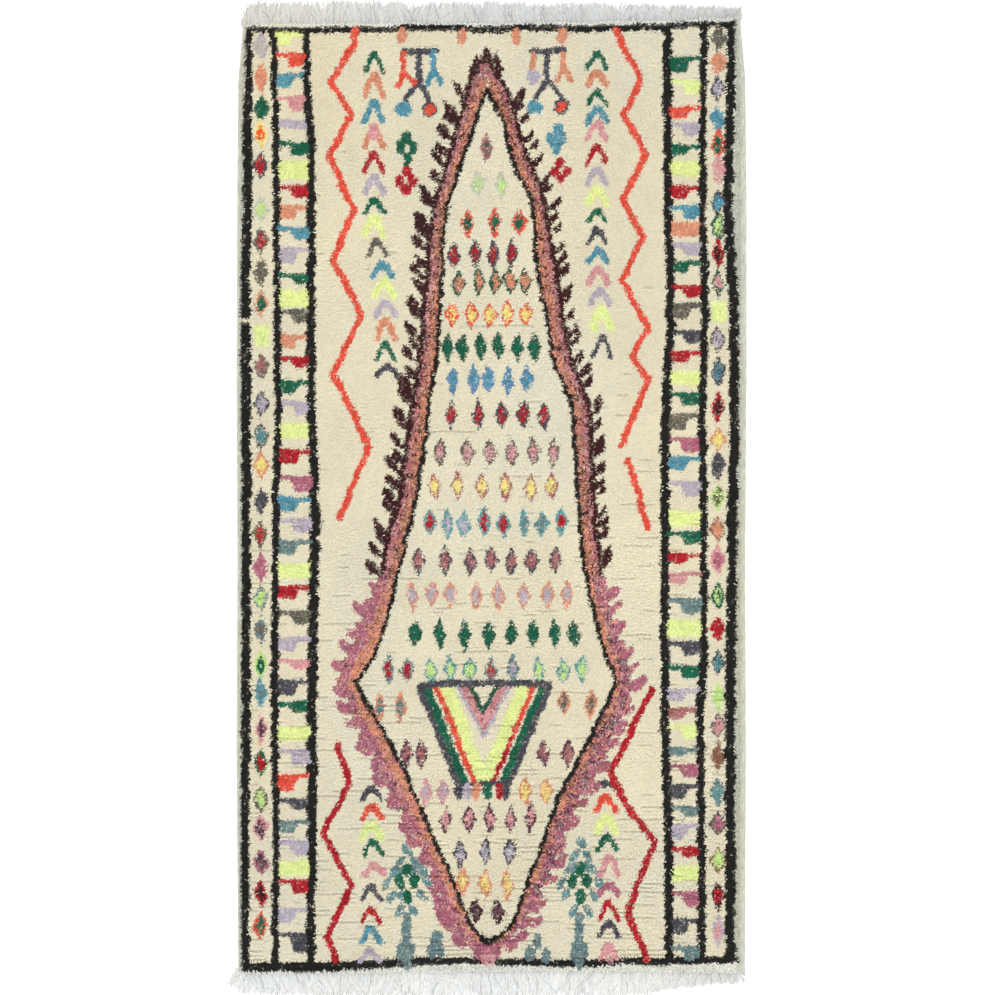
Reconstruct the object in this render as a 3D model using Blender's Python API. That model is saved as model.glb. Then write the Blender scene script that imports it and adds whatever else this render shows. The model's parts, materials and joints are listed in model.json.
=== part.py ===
# Tulu rug: a hand-knotted wool pile rug lying flat, with a knotted white fringe at each end.
# The rug lies on z = 0 with its length along Y, its top end at +Y and its pile up (+Z).
import math

import bmesh
import bpy
import numpy as np

# Driving sizes in metres
GROUND_THICKNESS = 0.004
PILE_THICKNESS = 0.019
LUMP_HEIGHT = 0.0015
CREASE_DEPTH = 0.0025
CREASE_WIDTH = 0.035
SHOULDER_INSET = 0.013
SHOULDER_DROP = 0.005
END_MARGIN = 0.0075
LOCK_REACH = 0.0045
HALF_LENGTH = 1.42
HALF_WIDTH = 0.747
PIECE_GAP = 0.0003
SHARP_ANGLE = math.radians(30)

# Divisions of the pile slab: coarse inside, finer along its rim, where each second point is a lock
INNER_COLUMNS = 26
INNER_ROWS = 50
RIM_CUTS = 3
SEED = 11

# The long edges, from the bottom end to the top end: where the selvedge ends and where the pile begins
SIDE_EDGES = [
    {"y": -1.430, "left": -0.762, "left_pile": -0.751, "right": 0.760, "right_pile": 0.738},
    {"y": -1.200, "left": -0.764, "left_pile": -0.753, "right": 0.761, "right_pile": 0.740},
    {"y": -0.750, "left": -0.768, "left_pile": -0.756, "right": 0.763, "right_pile": 0.743},
    {"y": -0.200, "left": -0.765, "left_pile": -0.753, "right": 0.761, "right_pile": 0.742},
    {"y": 0.350, "left": -0.768, "left_pile": -0.755, "right": 0.765, "right_pile": 0.744},
    {"y": 0.900, "left": -0.766, "left_pile": -0.753, "right": 0.765, "right_pile": 0.743},
    {"y": 1.250, "left": -0.763, "left_pile": -0.751, "right": 0.761, "right_pile": 0.740},
    {"y": 1.430, "left": -0.748, "left_pile": -0.737, "right": 0.745, "right_pile": 0.730},
]

# The short edges, from left to right: where the knotted cloth ends, the width of the woven strip
# past it, and how far the fringe reaches
END_EDGES = [
    {"x": -0.780, "top": 1.417, "top_strip": 0.011, "top_tip": 1.470,
     "bottom": -1.424, "bottom_strip": 0.011, "bottom_tip": -1.470},
    {"x": -0.400, "top": 1.419, "top_strip": 0.011, "top_tip": 1.475,
     "bottom": -1.423, "bottom_strip": 0.011, "bottom_tip": -1.475},
    {"x": 0.050, "top": 1.419, "top_strip": 0.012, "top_tip": 1.475,
     "bottom": -1.417, "bottom_strip": 0.012, "bottom_tip": -1.473},
    {"x": 0.480, "top": 1.424, "top_strip": 0.011, "top_tip": 1.473,
     "bottom": -1.419, "bottom_strip": 0.012, "bottom_tip": -1.475},
    {"x": 0.780, "top": 1.436, "top_strip": 0.010, "top_tip": 1.466,
     "bottom": -1.424, "bottom_strip": 0.013, "bottom_tip": -1.456},
]

# Low creases across the rug, where two knot rows part
CREASES = [
    {"y": -1.330, "x": -0.10, "reach": 0.75},
    {"y": -1.170, "x": 0.20, "reach": 0.60},
    {"y": -0.980, "x": -0.25, "reach": 0.55},
    {"y": -0.790, "x": 0.15, "reach": 0.70},
    {"y": 0.195, "x": -0.30, "reach": 0.40},
    {"y": 0.560, "x": 0.35, "reach": 0.35},
]

# Fringes: a flat woven strip, and three-sided strands with a flat side down, thickest at the root
STRIP_THICKNESS = 0.0035
STRIP_COLUMNS = 36
STRIP_SIDE_MARGIN = 0.003
STRANDS = 96
STRAND_WIDTH = 0.0085
STRAND_HEIGHT = 0.0032
STRAND_ROOT = 0.006
STRAND_LIFT = 0.0004
STRAND_LEAN = 0.009
STRAND_SHORTEST = 0.85
STRAND_POINTS = [
    {"along": 0.00, "radius": 1.00, "lean": 0.00},
    {"along": 0.25, "radius": 1.00, "lean": 0.10},
    {"along": 0.62, "radius": 0.85, "lean": 0.50},
    {"along": 1.00, "radius": 0.35, "lean": 1.00},
]
CORNER_FLARE = 0.024
CORNER_FLARE_REACH = 0.050


def smooth_table(table, across, column, at):
    """Value of one table column at a place, eased between the rows on both sides of it."""
    places = [row[across] for row in table]
    values = [row[column] for row in table]
    at = min(max(at, places[0]), places[-1])
    row = min(int(np.searchsorted(places, at, side="right")) - 1, len(places) - 2)
    share = (at - places[row]) / (places[row + 1] - places[row])
    eased = share * share * (3 - 2 * share)
    return values[row] + eased * (values[row + 1] - values[row])


def side_x(column, y):
    """A long edge, or the pile's edge beside it, with the small waves of a hand-made selvedge."""
    wave = 0.0012 * math.sin(11.0 * y + 0.6) + 0.0008 * math.sin(27.0 * y + 1.9)
    return smooth_table(SIDE_EDGES, "y", column, y) + wave


def end_y(end, x):
    """The end of the knotted cloth at a place across the rug."""
    wave = 0.0010 * math.sin(9.0 * x + 0.4) + 0.0006 * math.sin(23.0 * x)
    return smooth_table(END_EDGES, "x", end, x) + wave


def make_material(name, colour, roughness):
    material = bpy.data.materials.new(name)
    material.use_nodes = True
    shader = material.node_tree.nodes["Principled BSDF"]
    shader.inputs["Base Color"].default_value = (*colour, 1)
    shader.inputs["Roughness"].default_value = roughness
    shader.inputs["Metallic"].default_value = 0.0
    return material


def mesh_object(name, bm, material, collection):
    mesh = bpy.data.meshes.new(name)
    bm.to_mesh(mesh)
    bm.free()
    mesh.materials.append(material)
    item = bpy.data.objects.new(name, mesh)
    collection.objects.link(item)
    return item


def drop_to_floor(bm):
    """Close an upper surface into a solid: straight walls at its rim and one flat underside."""
    extruded = bmesh.ops.extrude_face_region(bm, geom=list(bm.faces))
    underside = [item for item in extruded["geom"] if isinstance(item, bmesh.types.BMFace)]
    for corner in {corner for face in underside for corner in face.verts}:
        corner.co.z = 0.0
    bmesh.ops.dissolve_faces(bm, faces=underside, use_verts=False)
    bmesh.ops.recalc_face_normals(bm, faces=bm.faces)


def pile_lumps(x, y):
    """Height of the pile's lumps, and of the creases where its rows part."""
    lumps = (
        math.sin(31.0 * x + 2.2 * math.sin(7.0 * y))
        + math.sin(27.0 * y + 1.7 * math.sin(9.0 * x + 0.5))
        + 0.6 * math.sin(19.0 * (x + y) + 1.1)
    )
    height = LUMP_HEIGHT * lumps / 2.6
    for crease in CREASES:
        along = (x - crease["x"]) / crease["reach"]
        if abs(along) < 1:
            wander = 0.012 * math.sin(6.0 * x + 20.0 * crease["y"])
            away = (y - crease["y"] - wander) / CREASE_WIDTH
            height -= CREASE_DEPTH * (1 - along * along) * math.exp(-away * away)
    return height


def grid_lines(count, margin, inset):
    """Share and rim number of each line across one direction. The rim numbers are 0 inside, 1 on the
    pile's shoulder, 2 on its foot and 3 on the outline of the ground weave."""
    foot, shoulder = 1.0 - margin, 1.0 - margin - inset
    inside = [(float(share), 0) for share in np.linspace(-shoulder, shoulder, count + 1)[1:-1]]
    return [(-1.0, 3), (-foot, 2), (-shoulder, 1), *inside, (shoulder, 1), (foot, 2), (1.0, 3)]


def line_at(lines, number):
    """Share and rim number at a line, or between two lines, where the rim number is 0."""
    below = min(int(number), len(lines) - 2)
    part = number - below
    share = lines[below][0] + part * (lines[below + 1][0] - lines[below][0])
    nearest = round(number)
    return share, lines[nearest][1] if abs(number - nearest) < 0.01 else 0


def body_place(u, v, rim_u, rim_v, lock):
    """Place of a grid point. u runs from -1 to 1 between the pile's long edges, and v between the
    ends of the cloth. lock is above 0 where the pile's rim stands out and below 0 between locks."""
    side = "left" if u < 0 else "right"
    x, y = 0.0, v * HALF_LENGTH
    for _ in range(3):
        left, right = side_x("left_pile", y), side_x("right_pile", y)
        x = side_x(side, y) if rim_u == 3 else (left + right) / 2 + u * (right - left) / 2
        top, bottom = end_y("top", x), end_y("bottom", x)
        y = (top + bottom) / 2 + v * (top - bottom) / 2
    if rim_u == 2 and rim_v < 2:
        x += math.copysign(LOCK_REACH, u) * lock
    if rim_v == 2 and rim_u < 2:
        y += math.copysign(LOCK_REACH, v) * lock
    rim = max(rim_u, rim_v)
    if rim >= 2:
        return x, y, GROUND_THICKNESS
    drop = SHOULDER_DROP * (1.0 - 0.35 * lock) if rim == 1 else 0.0
    return x, y, PILE_THICKNESS + pile_lumps(x, y) - drop


def make_body(collection, material):
    """The knotted cloth: a lumpy pile slab with locks at its rim, and the flat selvedges beside it."""
    columns = grid_lines(INNER_COLUMNS, 0.0, SHOULDER_INSET / HALF_WIDTH)
    rows = grid_lines(INNER_ROWS, END_MARGIN / HALF_LENGTH, SHOULDER_INSET / HALF_LENGTH)
    last_column, last_row = len(columns) - 1, len(rows) - 1

    bm = bmesh.new()
    bmesh.ops.create_grid(bm, x_segments=last_column, y_segments=last_row, size=1)
    for vert in bm.verts:
        vert.co.x = round((vert.co.x + 1) / 2 * last_column)
        vert.co.y = round((vert.co.y + 1) / 2 * last_row)

    # The rim strips get more divisions along them than the inside, so that locks fit there
    def inside(first, second, last):
        return min(first, second) >= 2 and max(first, second) <= last - 2

    def in_rim_strip(edge):
        a, b = (vert.co for vert in edge.verts)
        on_side = a.x == b.x and not 2 < a.x < last_column - 2 and inside(a.y, b.y, last_row)
        on_end = a.y == b.y and not 2 < a.y < last_row - 2 and inside(a.x, b.x, last_column)
        return on_side or on_end

    chosen = [edge for edge in bm.edges if in_rim_strip(edge)]
    bmesh.ops.subdivide_edges(bm, edges=chosen, cuts=RIM_CUTS, use_grid_fill=True)

    rng = np.random.default_rng(SEED)
    depths = rng.uniform(0.5, 1.0, (last_row + last_column) * (RIM_CUTS + 1) * 2)
    for vert in bm.verts:
        column, row = vert.co.x, vert.co.y
        u, rim_u = line_at(columns, column)
        v, rim_v = line_at(rows, row)
        step = round((row if rim_u else column + last_row) * (RIM_CUTS + 1))
        lock = float(depths[step]) * (1 if step % 2 else -1)
        vert.co = body_place(u, v, rim_u, rim_v, lock)

    drop_to_floor(bm)
    body = mesh_object("rug_body", bm, material, collection)
    body.data.shade_smooth()
    body.data.set_sharp_from_angle(angle=SHARP_ANGLE)
    return body


def strip_mesh(end, outward, material, collection):
    """The flat woven strip beside one end of the cloth, parted from it by the gap."""
    bm = bmesh.new()
    bmesh.ops.create_grid(bm, x_segments=STRIP_COLUMNS, y_segments=1, size=1)
    near_y = outward * HALF_LENGTH
    left = side_x("left", near_y) + STRIP_SIDE_MARGIN
    right = side_x("right", near_y) - STRIP_SIDE_MARGIN
    for vert in bm.verts:
        x = left + (vert.co.x + 1) / 2 * (right - left)
        beside = outward * PIECE_GAP
        past = outward * smooth_table(END_EDGES, "x", end + "_strip", x)
        vert.co = (x, end_y(end, x) + (past if vert.co.y * outward > 0 else beside), STRIP_THICKNESS)
    drop_to_floor(bm)
    return mesh_object("fringe_" + end, bm, material, collection), left, right


def strand_profile(collection):
    """Cross-section of a strand: a low triangle on its flat side."""
    curve = bpy.data.curves.new("strand_profile", "CURVE")
    spline = curve.splines.new("POLY")
    spline.points.add(2)
    corners = [(-STRAND_WIDTH / 2, 0.0), (STRAND_WIDTH / 2, 0.0), (0.0, STRAND_HEIGHT)]
    for point, (across, up) in zip(spline.points, corners):
        point.co = (across, up, 0, 1)
    spline.use_cyclic_u = True
    guide = bpy.data.objects.new("strand_profile", curve)
    guide.hide_render = True
    guide.display_type = "WIRE"
    collection.objects.link(guide)
    return guide


def strand_mesh(end, outward, left, right, profile, collection):
    """All strands of one fringe as one mesh, each rooted inside the strip and leaning a little."""
    rng = np.random.default_rng(SEED + (1 if outward > 0 else 2))
    curve = bpy.data.curves.new("strands_" + end, "CURVE")
    curve.dimensions = "3D"
    curve.twist_mode = "Z_UP"
    curve.bevel_mode = "OBJECT"
    curve.bevel_object = profile
    curve.use_fill_caps = True
    pitch = (right - left) / STRANDS
    for number in range(STRANDS):
        x = left + (number + 0.5) * pitch
        edge = end_y(end, x) + outward * smooth_table(END_EDGES, "x", end + "_strip", x)
        tip = smooth_table(END_EDGES, "x", end + "_tip", x)
        reach = (tip - edge) * float(rng.uniform(STRAND_SHORTEST, 1.0))
        lean = STRAND_LEAN * math.sin(8.3 * x + 2.0 * outward) + 0.3 * STRAND_LEAN * math.sin(29.0 * x)
        if outward < 0:
            lean -= CORNER_FLARE * max(0.0, 1 - (x - left) / CORNER_FLARE_REACH)
        root = edge - outward * STRAND_ROOT
        spline = curve.splines.new("POLY")
        spline.points.add(len(STRAND_POINTS) - 1)
        for point, share in zip(spline.points, STRAND_POINTS):
            y = root + share["along"] * (edge + reach - root)
            z = STRAND_LIFT if share["along"] == 0 else 0.0
            point.co = (x + share["lean"] * lean, y, z, 1)
            point.radius = share["radius"]
    strands = bpy.data.objects.new("strands_" + end, curve)
    collection.objects.link(strands)
    bpy.context.view_layer.update()
    evaluated = strands.evaluated_get(bpy.context.evaluated_depsgraph_get())
    mesh = bpy.data.meshes.new_from_object(evaluated)
    bpy.data.objects.remove(strands)
    bm = bmesh.new()
    bm.from_mesh(mesh)
    bmesh.ops.remove_doubles(bm, verts=bm.verts, dist=0.00001)
    bmesh.ops.recalc_face_normals(bm, faces=bm.faces)
    bm.to_mesh(mesh)
    bm.free()
    cutter = bpy.data.objects.new("strands_" + end, mesh)
    cutter.hide_render = True
    cutter.display_type = "WIRE"
    collection.objects.link(cutter)
    return cutter


def make_fringe(end, outward, material, collection, helpers, profile):
    """One fringe: its strands are fused to a strip that lies beside the end of the cloth."""
    strip, left, right = strip_mesh(end, outward, material, collection)
    strands = strand_mesh(end, outward, left, right, profile, helpers)
    join = strip.modifiers.new("strands", "BOOLEAN")
    join.operation = "UNION"
    join.solver = "EXACT"
    join.object = strands
    return strip


def main():
    for item in list(bpy.data.objects):
        bpy.data.objects.remove(item, do_unlink=True)
    rug = bpy.data.collections.new("tulu_rug")
    helpers = bpy.data.collections.new("helpers")
    bpy.context.scene.collection.children.link(rug)
    bpy.context.scene.collection.children.link(helpers)

    pile_wool = make_material("pile_wool", (0.72, 0.66, 0.50), 0.95)
    fringe_wool = make_material("fringe_wool", (0.80, 0.80, 0.78), 0.90)

    make_body(rug, pile_wool)
    profile = strand_profile(helpers)
    make_fringe("top", 1, fringe_wool, rug, helpers, profile)
    make_fringe("bottom", -1, fringe_wool, rug, helpers, profile)


main()
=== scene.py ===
# Tulu rug lying flat: long knotted wool pile, woven selvedges and a white fringe at each end.
import json
import math

import bpy
import numpy as np
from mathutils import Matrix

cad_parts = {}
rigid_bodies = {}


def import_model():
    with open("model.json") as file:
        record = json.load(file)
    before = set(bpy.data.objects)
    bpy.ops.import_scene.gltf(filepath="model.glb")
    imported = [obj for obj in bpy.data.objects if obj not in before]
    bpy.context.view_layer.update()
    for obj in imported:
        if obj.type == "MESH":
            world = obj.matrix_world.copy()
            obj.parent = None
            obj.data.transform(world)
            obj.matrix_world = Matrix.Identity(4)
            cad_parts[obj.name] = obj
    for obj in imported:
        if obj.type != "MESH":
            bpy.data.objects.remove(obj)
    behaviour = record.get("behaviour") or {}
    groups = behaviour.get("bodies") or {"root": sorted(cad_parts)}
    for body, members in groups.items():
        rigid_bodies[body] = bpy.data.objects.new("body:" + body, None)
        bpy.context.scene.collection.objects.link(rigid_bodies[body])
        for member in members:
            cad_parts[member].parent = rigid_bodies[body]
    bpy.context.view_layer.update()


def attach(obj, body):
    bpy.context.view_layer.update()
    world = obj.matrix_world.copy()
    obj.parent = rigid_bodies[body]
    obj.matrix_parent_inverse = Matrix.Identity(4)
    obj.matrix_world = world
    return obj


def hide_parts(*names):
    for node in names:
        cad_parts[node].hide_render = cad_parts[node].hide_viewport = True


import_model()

# The cloth's real outline in metres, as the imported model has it.
rug = {
    # along the rug: cloth edge and pile edge at the left, then cloth edge and pile edge at the right
    "sides": [(-1.430, -0.762, -0.751, 0.760, 0.738), (-1.200, -0.764, -0.753, 0.761, 0.740),
              (-0.750, -0.768, -0.756, 0.763, 0.743), (-0.200, -0.765, -0.753, 0.761, 0.742),
              (0.350, -0.768, -0.755, 0.765, 0.744), (0.900, -0.766, -0.753, 0.765, 0.743),
              (1.250, -0.763, -0.751, 0.761, 0.740), (1.430, -0.748, -0.737, 0.745, 0.730)],
    # across the rug: end of the pile and tips of the fringe at the top, then at the bottom
    "ends": [(-0.780, 1.417, 1.470, -1.424, -1.470), (-0.400, 1.419, 1.475, -1.423, -1.475),
             (0.050, 1.419, 1.475, -1.417, -1.473), (0.480, 1.424, 1.473, -1.419, -1.475),
             (0.780, 1.436, 1.466, -1.424, -1.456)],
    # soft cross creases left by folding: place along, middle across, half length, in metres
    "creases": [(-1.330, -0.10, 0.75), (-1.170, 0.20, 0.60), (-0.980, -0.25, 0.55),
                (-0.790, 0.15, 0.70), (0.195, -0.30, 0.40), (0.560, 0.35, 0.35)],
    "endBand": 0.010,
}

# Yarn colours as they look in daylight, red, green and blue out of 255.
dyes = {
    "cream": (216, 209, 184), "black": (29, 28, 25), "crimson": (176, 30, 42), "coral": (224, 82, 62),
    "orange": (236, 92, 52), "neon": (228, 239, 158), "lime": (196, 226, 140), "lemon": (238, 222, 134),
    "emerald": (24, 98, 72), "pine": (30, 84, 64), "sky": (86, 147, 165), "teal": (92, 152, 156),
    "denim": (98, 136, 174), "steel": (105, 131, 132), "slate": (76, 74, 82), "grey": (102, 97, 86),
    "lilac": (184, 175, 188), "mauve": (174, 102, 122), "plum": (60, 26, 28), "salmon": (216, 146, 114),
    "pink": (216, 153, 156), "rose": (170, 106, 106), "brown": (140, 98, 76), "aubergine": (92, 56, 72),
    "olive": (108, 106, 82), "selvedge": (194, 194, 178), "white": (216, 217, 213),
    "ash": (226, 225, 214),
}
dyeNames = list(dyes)
# Share of each yarn's ends that are paler, where cream wool shows through; the rest have 0.08.
paleShares = {"cream": 0.0, "black": 0.02, "neon": 0.03, "emerald": 0.05, "plum": 0.10, "steel": 0.16,
              "grey": 0.16, "lilac": 0.18, "teal": 0.16, "lime": 0.22, "mauve": 0.08, "rose": 0.14,
              "pink": 0.16, "aubergine": 0.14, "white": 0.0, "ash": 0.0, "selvedge": 0.0}


def linear(colour):                      # screen colour to the light that it stands for
    part = np.array(colour, dtype=float) / 255
    return np.where(part <= 0.04045, part / 12.92, ((part + 0.055) / 1.055) ** 2.4)


dyeTable = np.array([linear(dyes[name]) for name in dyeNames])


def sideAt(y, column):
    table = np.array(rug["sides"])
    return np.interp(y, table[:, 0], table[:, column])


def endAt(x, column):
    table = np.array(rug["ends"])
    return np.interp(x, table[:, 0], table[:, column])


def softNoise(x, y, size, seed):         # smooth random field from about -1 to 1
    lattice = np.random.default_rng(seed).uniform(-1, 1, (97, 97))
    u = x / size + 40.3
    v = y / size + 37.7
    column = np.floor(u).astype(int)
    row = np.floor(v).astype(int)
    a = u - column
    b = v - row
    a = a * a * (3 - 2 * a)
    b = b * b * (3 - 2 * b)
    column = column % 96
    row = row % 96
    low = lattice[row, column] * (1 - a) + lattice[row, column + 1] * a
    high = lattice[row + 1, column] * (1 - a) + lattice[row + 1, column + 1] * a
    return low * (1 - b) + high * b


def creaseAt(x, y):                      # 1 in the bottom of a crease, 0 away from it
    depth = np.zeros(np.shape(x))
    for place, middle, half in rug["creases"]:
        wander = place + 0.012 * softNoise(x, y * 0 + place, 0.22, 5)
        across = np.clip(1 - np.abs(x - middle) / half, 0, 1)
        depth = np.maximum(depth, np.exp(-((y - wander) / 0.016) ** 2) * np.minimum(1, across * 2.5))
    return depth


# The knotting chart, in steps of 3 mm counted across and down the rug. A step is one pixel of the
# photograph, and the places in these tables were read off enlarged pieces of it.
chart = {"step": 0.003, "middleAcross": 492, "middleDown": 497, "wobble": 0.9}

# Black dividing lines, as they wander down the rug.
uprights = {
    "leftEdge": [(248.8, 24), (248.3, 60), (247.2, 100), (247.6, 160), (247.2, 220), (245, 290),
                 (245.6, 331), (245.6, 420), (246.4, 489), (246.2, 560), (246.3, 700), (245.2, 776),
                 (244.8, 850), (244.4, 970)],
    "leftInner": [(273, 28), (276, 150), (277, 300), (278, 400), (276, 500), (275, 620), (275, 740),
                  (276, 850), (275, 965)],
    "leftField": [(305, 28), (307, 84), (311, 147), (311, 274), (311, 363), (312, 430), (315, 510),
                  (313, 600), (312, 700), (312, 830), (310, 965)],
    "rightField": [(667, 26), (668, 200), (671, 320), (667, 374), (665, 468), (665, 600), (665, 726),
                   (669, 850), (669, 960)],
    "rightInner": [(704, 26), (702, 200), (705, 320), (702, 405), (704, 510), (704, 630), (700, 726),
                   (702, 850), (701, 960)],
    "rightEdge": [(730, 22), (731, 100), (728.5, 150), (728, 220), (731, 260), (734, 300), (734, 420),
                  (733, 490), (732, 560), (731.5, 625), (730, 700), (730.5, 850), (730, 962)],
}
uprightWidths = {
    "leftEdge": [(24, 6.0), (110, 8.6), (300, 9.8), (430, 9.8), (560, 8.2), (960, 8.6)],
    "leftInner": [(24, 6.4), (960, 6.8)],
    "leftField": [(24, 5.8), (110, 7.8), (440, 8.0), (540, 9.6), (700, 9.4), (960, 8.4)],
    "rightField": [(24, 8.4), (960, 8.4)],
    "rightInner": [(24, 6.8), (960, 7.6)],
    "rightEdge": [(24, 7.6), (200, 9.0), (960, 9.0)],
}
crossLines = {
    "top": [(244, 30), (345, 30), (400, 29), (440, 27.6), (461, 28), (485, 30), (510, 28.8), (530, 27.6),
            (571, 29), (620, 28), (690, 26), (738, 23)],
    "bottom": [(244, 967.5), (330, 966.4), (430, 961), (475, 960), (500, 962), (571, 963.5), (628, 961),
               (738, 960)],
}

# Long zigzags between the border and the lozenge.
zigzags = [
    ("coral", [(356, 30), (354, 45), (331, 82), (351, 115), (329, 156), (354, 210), (333, 259), (362, 315),
               (334, 374), (369, 445), (339, 517)]),
    ("coral", [(615, 30), (641, 79), (623, 114), (646, 155), (622, 199), (644, 237), (622, 280), (648, 328),
               (632, 356), (648, 378), (621, 445)]),
    ("coral", [(628, 460), (640, 500), (647, 528)]),
    ("crimson", [(337, 746), (350, 781), (323, 834), (351, 885), (327, 937), (336, 960)]),
    ("crimson", [(652, 689), (610, 774), (632, 814), (654, 842), (627, 912), (647, 960)]),
]

# Chevron columns: middle, apex, feet and yarn of each.
chevrons = [
    (374, 51, 74, "emerald"), (374, 73, 98, "salmon"), (374, 99, 124, "sky"), (374, 126, 149, "salmon"),
    (374, 151, 174, "crimson"), (374, 174, 194, "lilac"), (374, 196, 214, "emerald"), (374, 215, 236, "neon"),
    (377, 238, 257, "grey"), (382, 260, 278, "sky"), (384, 278, 297, "neon"), (385, 299, 317, "lilac"),
    (386, 318, 340, "salmon"), (386, 341, 362, "emerald"), (387, 363, 378, "slate"),
    (597, 50, 70, "emerald"), (597, 70, 87, "salmon"), (597, 88, 106, "emerald"), (597, 105, 124, "sky"),
    (597, 121, 141, "pink"), (597, 143, 165, "crimson"), (597, 166, 185, "lilac"), (597, 186, 205, "neon"),
    (597, 208, 223, "emerald"), (597, 226, 245, "slate"), (598, 247, 263, "sky"), (598, 266, 286, "pink"),
    (600, 288, 305, "lilac"), (602, 306, 331, "neon"), (602, 334, 359, "slate"),
    (372, 785, 801, "slate"), (372, 803, 820, "coral"), (372, 822, 839, "neon"), (373, 839, 857, "emerald"),
    (374, 862, 876, "pink"), (371, 883, 902, "slate"), (371, 906, 924, "crimson"), (371, 926, 944, "sky"),
    (370, 948, 962, "lilac"),
    (605, 779, 790, "slate"), (606, 793, 812, "coral"), (606, 815, 834, "neon"), (607, 834, 852, "emerald"),
    (609, 854, 877, "pink"), (609, 882, 896, "mauve"), (609, 900, 921, "crimson"), (609, 920, 938, "slate"),
    (609, 942, 960, "pink"),
]

# Ladder borders: top, foot, yarn, and the side that the rung's block hangs at.
leftRungs = [
    (33, 45, "neon", "L"), (54, 67, "coral", "R"), (74, 87, "sky", "L"), (97, 112, "pink", "R"),
    (121, 129, "lilac", "B"), (143, 156, "emerald", "R"), (162, 180, "neon", "B"),
    (186, 198, "crimson", "R"), (206, 220, "salmon", "L"), (228, 240, "sky", "R"),
    (248, 264, "lilac", "L"), (274, 284, "emerald", "R"), (290, 307, "neon", "B"),
    (310, 323, "grey", "R"), (335, 349, "salmon", "L"), (357, 367, "crimson", "R"),
    (381, 394, "emerald", "L"), (402, 416, "lilac", "R"), (424, 438, "neon", "B"),
    (450, 464, "crimson", "L"), (477, 491, "mauve", "R"), (498, 511, "sky", "L"),
    (519, 532, "lilac", "R"), (541, 555, "steel", "L"), (564, 578, "neon", "B"),
    (586, 599, "crimson", "L"), (611, 625, "grey", "R"), (638, 652, "lilac", "L"),
    (660, 670, "pink", "R"), (681, 695, "slate", "L"), (702, 714, "emerald", "R"),
    (728, 741, "neon", "B"), (750, 766, "lilac", "R"), (775, 791, "coral", "L"), (799, 810, "slate", "R"),
    (821, 833, "steel", "L"), (841, 855, "lilac", "R"), (861, 876, "neon", "B"),
    (880, 894, "crimson", "R"), (908, 923, "lilac", "L"), (933, 953, "slate", "R"),
]
rightRungs = [
    (57, 72, "emerald", "L"), (80, 94, "neon", "R"), (107, 119, "coral", "L"), (124, 136, "lilac", "R"),
    (145, 155, "emerald", "L"), (161, 176, "neon", "B"), (186, 199, "crimson", "L"),
    (206, 219, "sky", "R"), (223, 237, "salmon", "B"), (244, 256, "lilac", "R"),
    (262, 273, "emerald", "L"), (286, 298, "crimson", "R"), (304, 319, "grey", "L"),
    (331, 344, "slate", "R"), (352, 363, "crimson", "L"), (372, 385, "neon", "B"),
    (393, 406, "emerald", "R"), (415, 429, "grey", "L"), (438, 452, "mauve", "R"), (457, 471, "sky", "L"),
    (482, 496, "lilac", "R"), (512, 526, "neon", "B"), (532, 544, "emerald", "R"),
    (554, 563, "crimson", "L"), (573, 585, "pink", "L"), (599, 613, "steel", "R"),
    (620, 638, "neon", "B"), (643, 656, "slate", "R"), (666, 679, "emerald", "R"),
    (690, 701, "lilac", "L"), (709, 720, "rose", "L"), (726, 739, "neon", "R"), (748, 756, "steel", "L"),
    (765, 778, "mauve", "R"), (785, 799, "slate", "L"), (806, 817, "steel", "R"),
    (825, 839, "lilac", "L"), (848, 858, "crimson", "R"), (867, 881, "neon", "B"),
    (892, 907, "mauve", "R"), (919, 935, "slate", "L"), (947, 960, "steel", "R"),
]

# Small lozenges in the outer borders: place down the rug, outer yarn, inner yarn.
leftLozenges = [
    (45, "lilac", "selvedge"), (79, "salmon", "salmon"), (108, "emerald", "emerald"),
    (133, "lemon", "orange"), (165, "slate", "crimson"), (208, "selvedge", "lime"),
    (240, "grey", "crimson"), (272, "olive", "grey"), (303, "salmon", "emerald"), (335, "neon", "neon"),
    (367, "grey", "rose"), (403, "slate", "lilac"), (437, "grey", "teal"), (464, "salmon", "lemon"),
    (501, "slate", "slate"), (533, "olive", "crimson"), (568, "mauve", "mauve"), (597, "steel", "lime"),
    (630, "steel", "grey"), (665, "lime", "emerald"), (693, "sky", "steel"), (728, "pink", "aubergine"),
    (761, "emerald", "crimson"), (799, "grey", "lime"), (828, "pink", "aubergine"),
    (863, "mauve", "aubergine"), (893, "crimson", "plum"), (924, "coral", "emerald"),
]
rightLozenges = [
    (40, "grey", "grey"), (63, "salmon", "salmon"), (89, "slate", "lilac"), (118, "sky", "sky"),
    (144, "coral", "emerald"), (170, "pink", "pink"), (202, "slate", "sky"), (227, "pine", "lime"),
    (254, "crimson", "plum"), (282, "pine", "pink"), (311, "neon", "lime"), (341, "grey", "lilac"),
    (373, "slate", "sky"), (407, "crimson", "plum"), (439, "salmon", "lemon"), (465, "slate", "slate"),
    (496, "lime", "olive"), (530, "brown", "salmon"), (561, "pink", "mauve"), (595, "emerald", "lime"),
    (628, "crimson", "crimson"), (663, "slate", "teal"), (696, "lime", "lime"), (726, "grey", "pink"),
    (757, "brown", "brown"), (791, "steel", "teal"), (824, "grey", "mauve"), (859, "brown", "lime"),
    (896, "plum", "crimson"), (932, "lilac", "pink"),
]

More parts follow.
